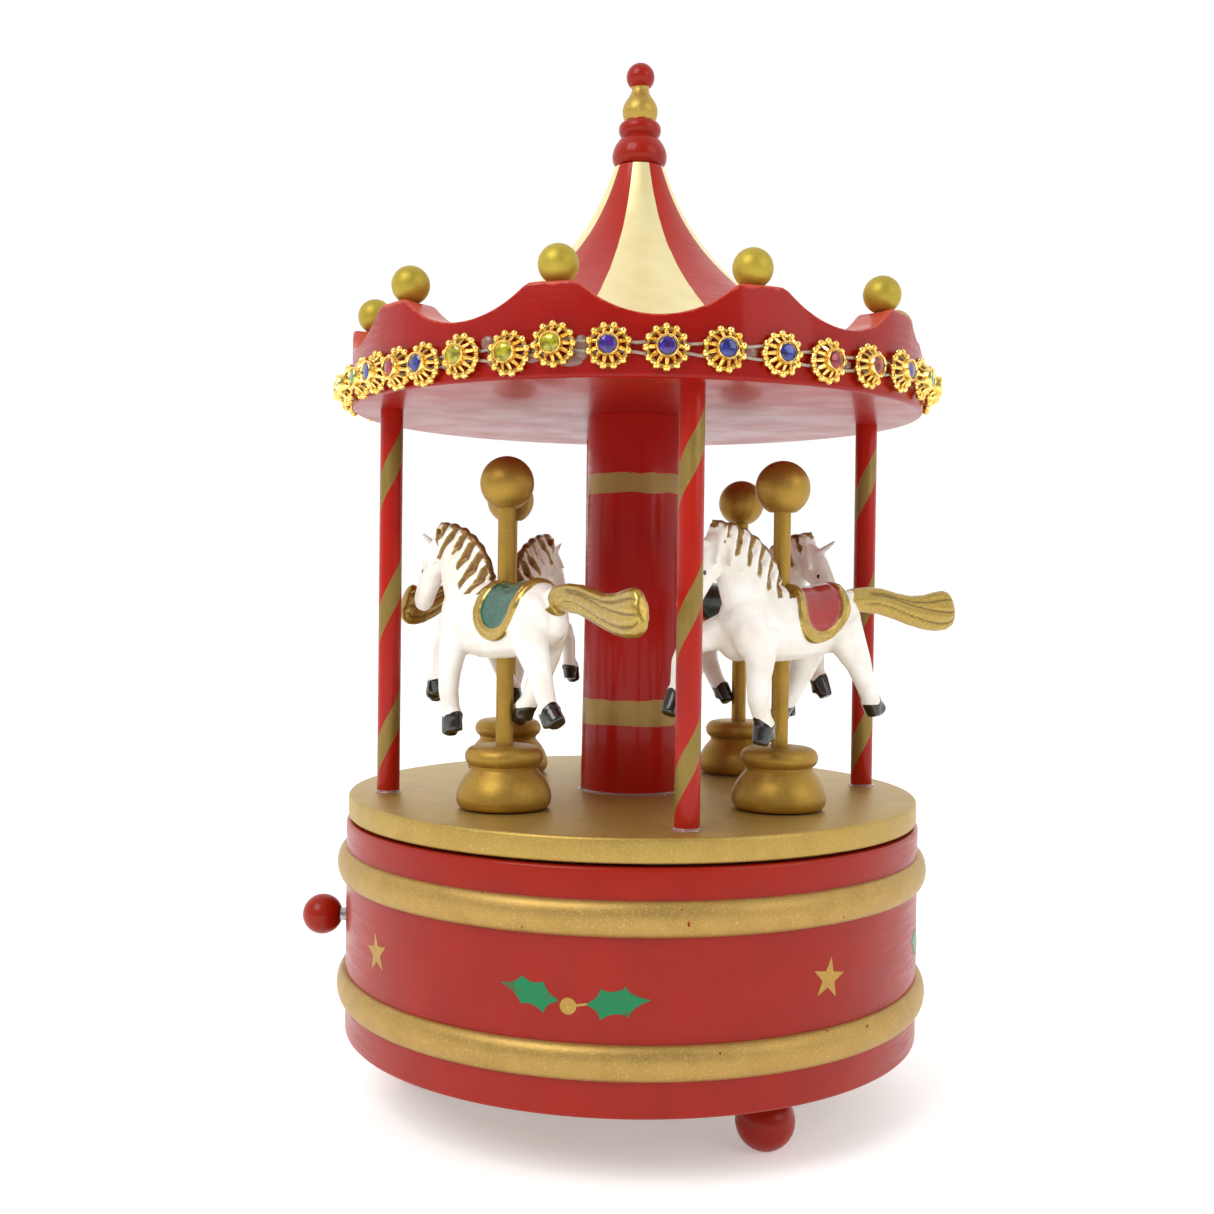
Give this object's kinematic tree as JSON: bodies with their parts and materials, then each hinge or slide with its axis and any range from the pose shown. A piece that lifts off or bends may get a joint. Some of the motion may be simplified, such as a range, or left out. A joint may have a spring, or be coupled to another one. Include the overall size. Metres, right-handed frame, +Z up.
{
  "type": "carousel music box",
  "caption": "Wind-up carousel music box: a round drum with a comb movement inside, and a turntable with galloping horses, striped poles, a column and a jewelled crown roof.",
  "frame": {"origin": "on the spin axis of the turntable, at the level of the foot pads' undersides", "axes": "+Z up along the spin axis; +X through the rod of the first horse, whose head points to -Y; the stop knob leaves the drum at 139 degrees clockwise from +X seen from above"},
  "size_m": [0.125, 0.125, 0.2134],
  "materials": {
    "red_lacquer": "turned wood under glossy red lacquer with gold painted bands and motifs",
    "gold_paint": "turned wood under satin gold paint, rubbed through to red in places",
    "painted_resin": "cast resin, ivory white with gold mane, tail and saddle trim and black hooves",
    "gilt_trim": "gilt filigree flowers with coloured faceted stones",
    "board": "plain fibreboard",
    "movement_brass": "machined brass",
    "movement_steel": "hardened steel",
    "movement_casting": "die-cast alloy",
    "felt": "pressed felt"
  },
  "bodies": {
    "base": {"base_drum": "red_lacquer", "upper_hoop": "gold_paint", "lower_hoop": "gold_paint", "deck_board": "board", "bottom_board": "board", "foot_1": "red_lacquer", "foot_2": "red_lacquer", "foot_3": "red_lacquer", "bedplate": "movement_casting", "comb": "movement_steel", "inner_bearing": "movement_brass", "outer_bearing": "movement_brass", "governor_frame": "movement_brass"},
    "carousel": {"column": "red_lacquer", "outer_pole_1": "red_lacquer", "outer_pole_2": "red_lacquer", "outer_pole_3": "red_lacquer", "outer_pole_4": "red_lacquer", "roof_crown": "red_lacquer", "roof_cone": "red_lacquer", "turntable": "gold_paint", "finial": "gold_paint", "pedestal_1": "gold_paint", "pedestal_2": "gold_paint", "pedestal_3": "gold_paint", "pedestal_4": "gold_paint", "horse_pole_1": "gold_paint", "horse_pole_2": "gold_paint", "horse_pole_3": "gold_paint", "horse_pole_4": "gold_paint", "pole_ball_1": "gold_paint", "pole_ball_2": "gold_paint", "pole_ball_3": "gold_paint", "pole_ball_4": "gold_paint", "crown_ball_1": "gold_paint", "crown_ball_2": "gold_paint", "crown_ball_3": "gold_paint", "crown_ball_4": "gold_paint", "crown_ball_5": "gold_paint", "crown_ball_6": "gold_paint", "crown_ball_7": "gold_paint", "crown_ball_8": "gold_paint", "crown_ball_9": "gold_paint", "crown_ball_10": "gold_paint", "horse_1": "painted_resin", "horse_2": "painted_resin", "horse_3": "painted_resin", "horse_4": "painted_resin", "jewel_trim": "gilt_trim", "spring_barrel": "movement_brass", "drive_hub": "movement_brass", "mainspring": "movement_steel"},
    "cylinder": {"cylinder": "movement_brass"},
    "governor_wheel": {"governor_wheel": "movement_brass"},
    "governor_fan": {"governor_fan": "movement_steel"},
    "stop": {"stop_knob": "red_lacquer", "stop_rod": "red_lacquer", "brake_pad": "felt"},
    "winder": {"winding_arbor": "movement_steel", "winding_key": "movement_brass"}
  },
  "joints": [
    {"name": "carousel_spin", "type": "hinge", "parent": "base", "child": "carousel", "pos_m": [0, 0, 0], "axis": [0, 0, 1], "continuous": true},
    {"name": "cylinder_spin", "type": "hinge", "parent": "base", "child": "cylinder", "pos_m": [0, 0, 0.04], "axis": [-0.4045, -0.9145, 0], "continuous": true},
    {"name": "governor_wheel_spin", "type": "hinge", "parent": "base", "child": "governor_wheel", "pos_m": [-0.00915, 0.00404, 0.04], "axis": [-0.4045, -0.9145, 0], "continuous": true},
    {"name": "governor_fan_spin", "type": "hinge", "parent": "base", "child": "governor_fan", "pos_m": [-0.02938, -0.02527, 0], "axis": [0, 0, 1], "continuous": true},
    {"name": "stop_slide", "type": "slide", "parent": "base", "child": "stop", "axis": [-0.7581, -0.6521, 0], "range_m": [0, 0.004]},
    {"name": "winding_key_turn", "type": "hinge", "parent": "base", "child": "winder", "pos_m": [0, 0, 0], "axis": [0, 0, -1], "range_deg": [0, 1440]}
  ],
  "couplings": [
    {"joint": "cylinder_spin", "follows": "carousel_spin", "ratio": 2},
    {"joint": "governor_wheel_spin", "follows": "carousel_spin", "ratio": -6},
    {"joint": "governor_fan_spin", "follows": "carousel_spin", "ratio": -120}
  ]
}
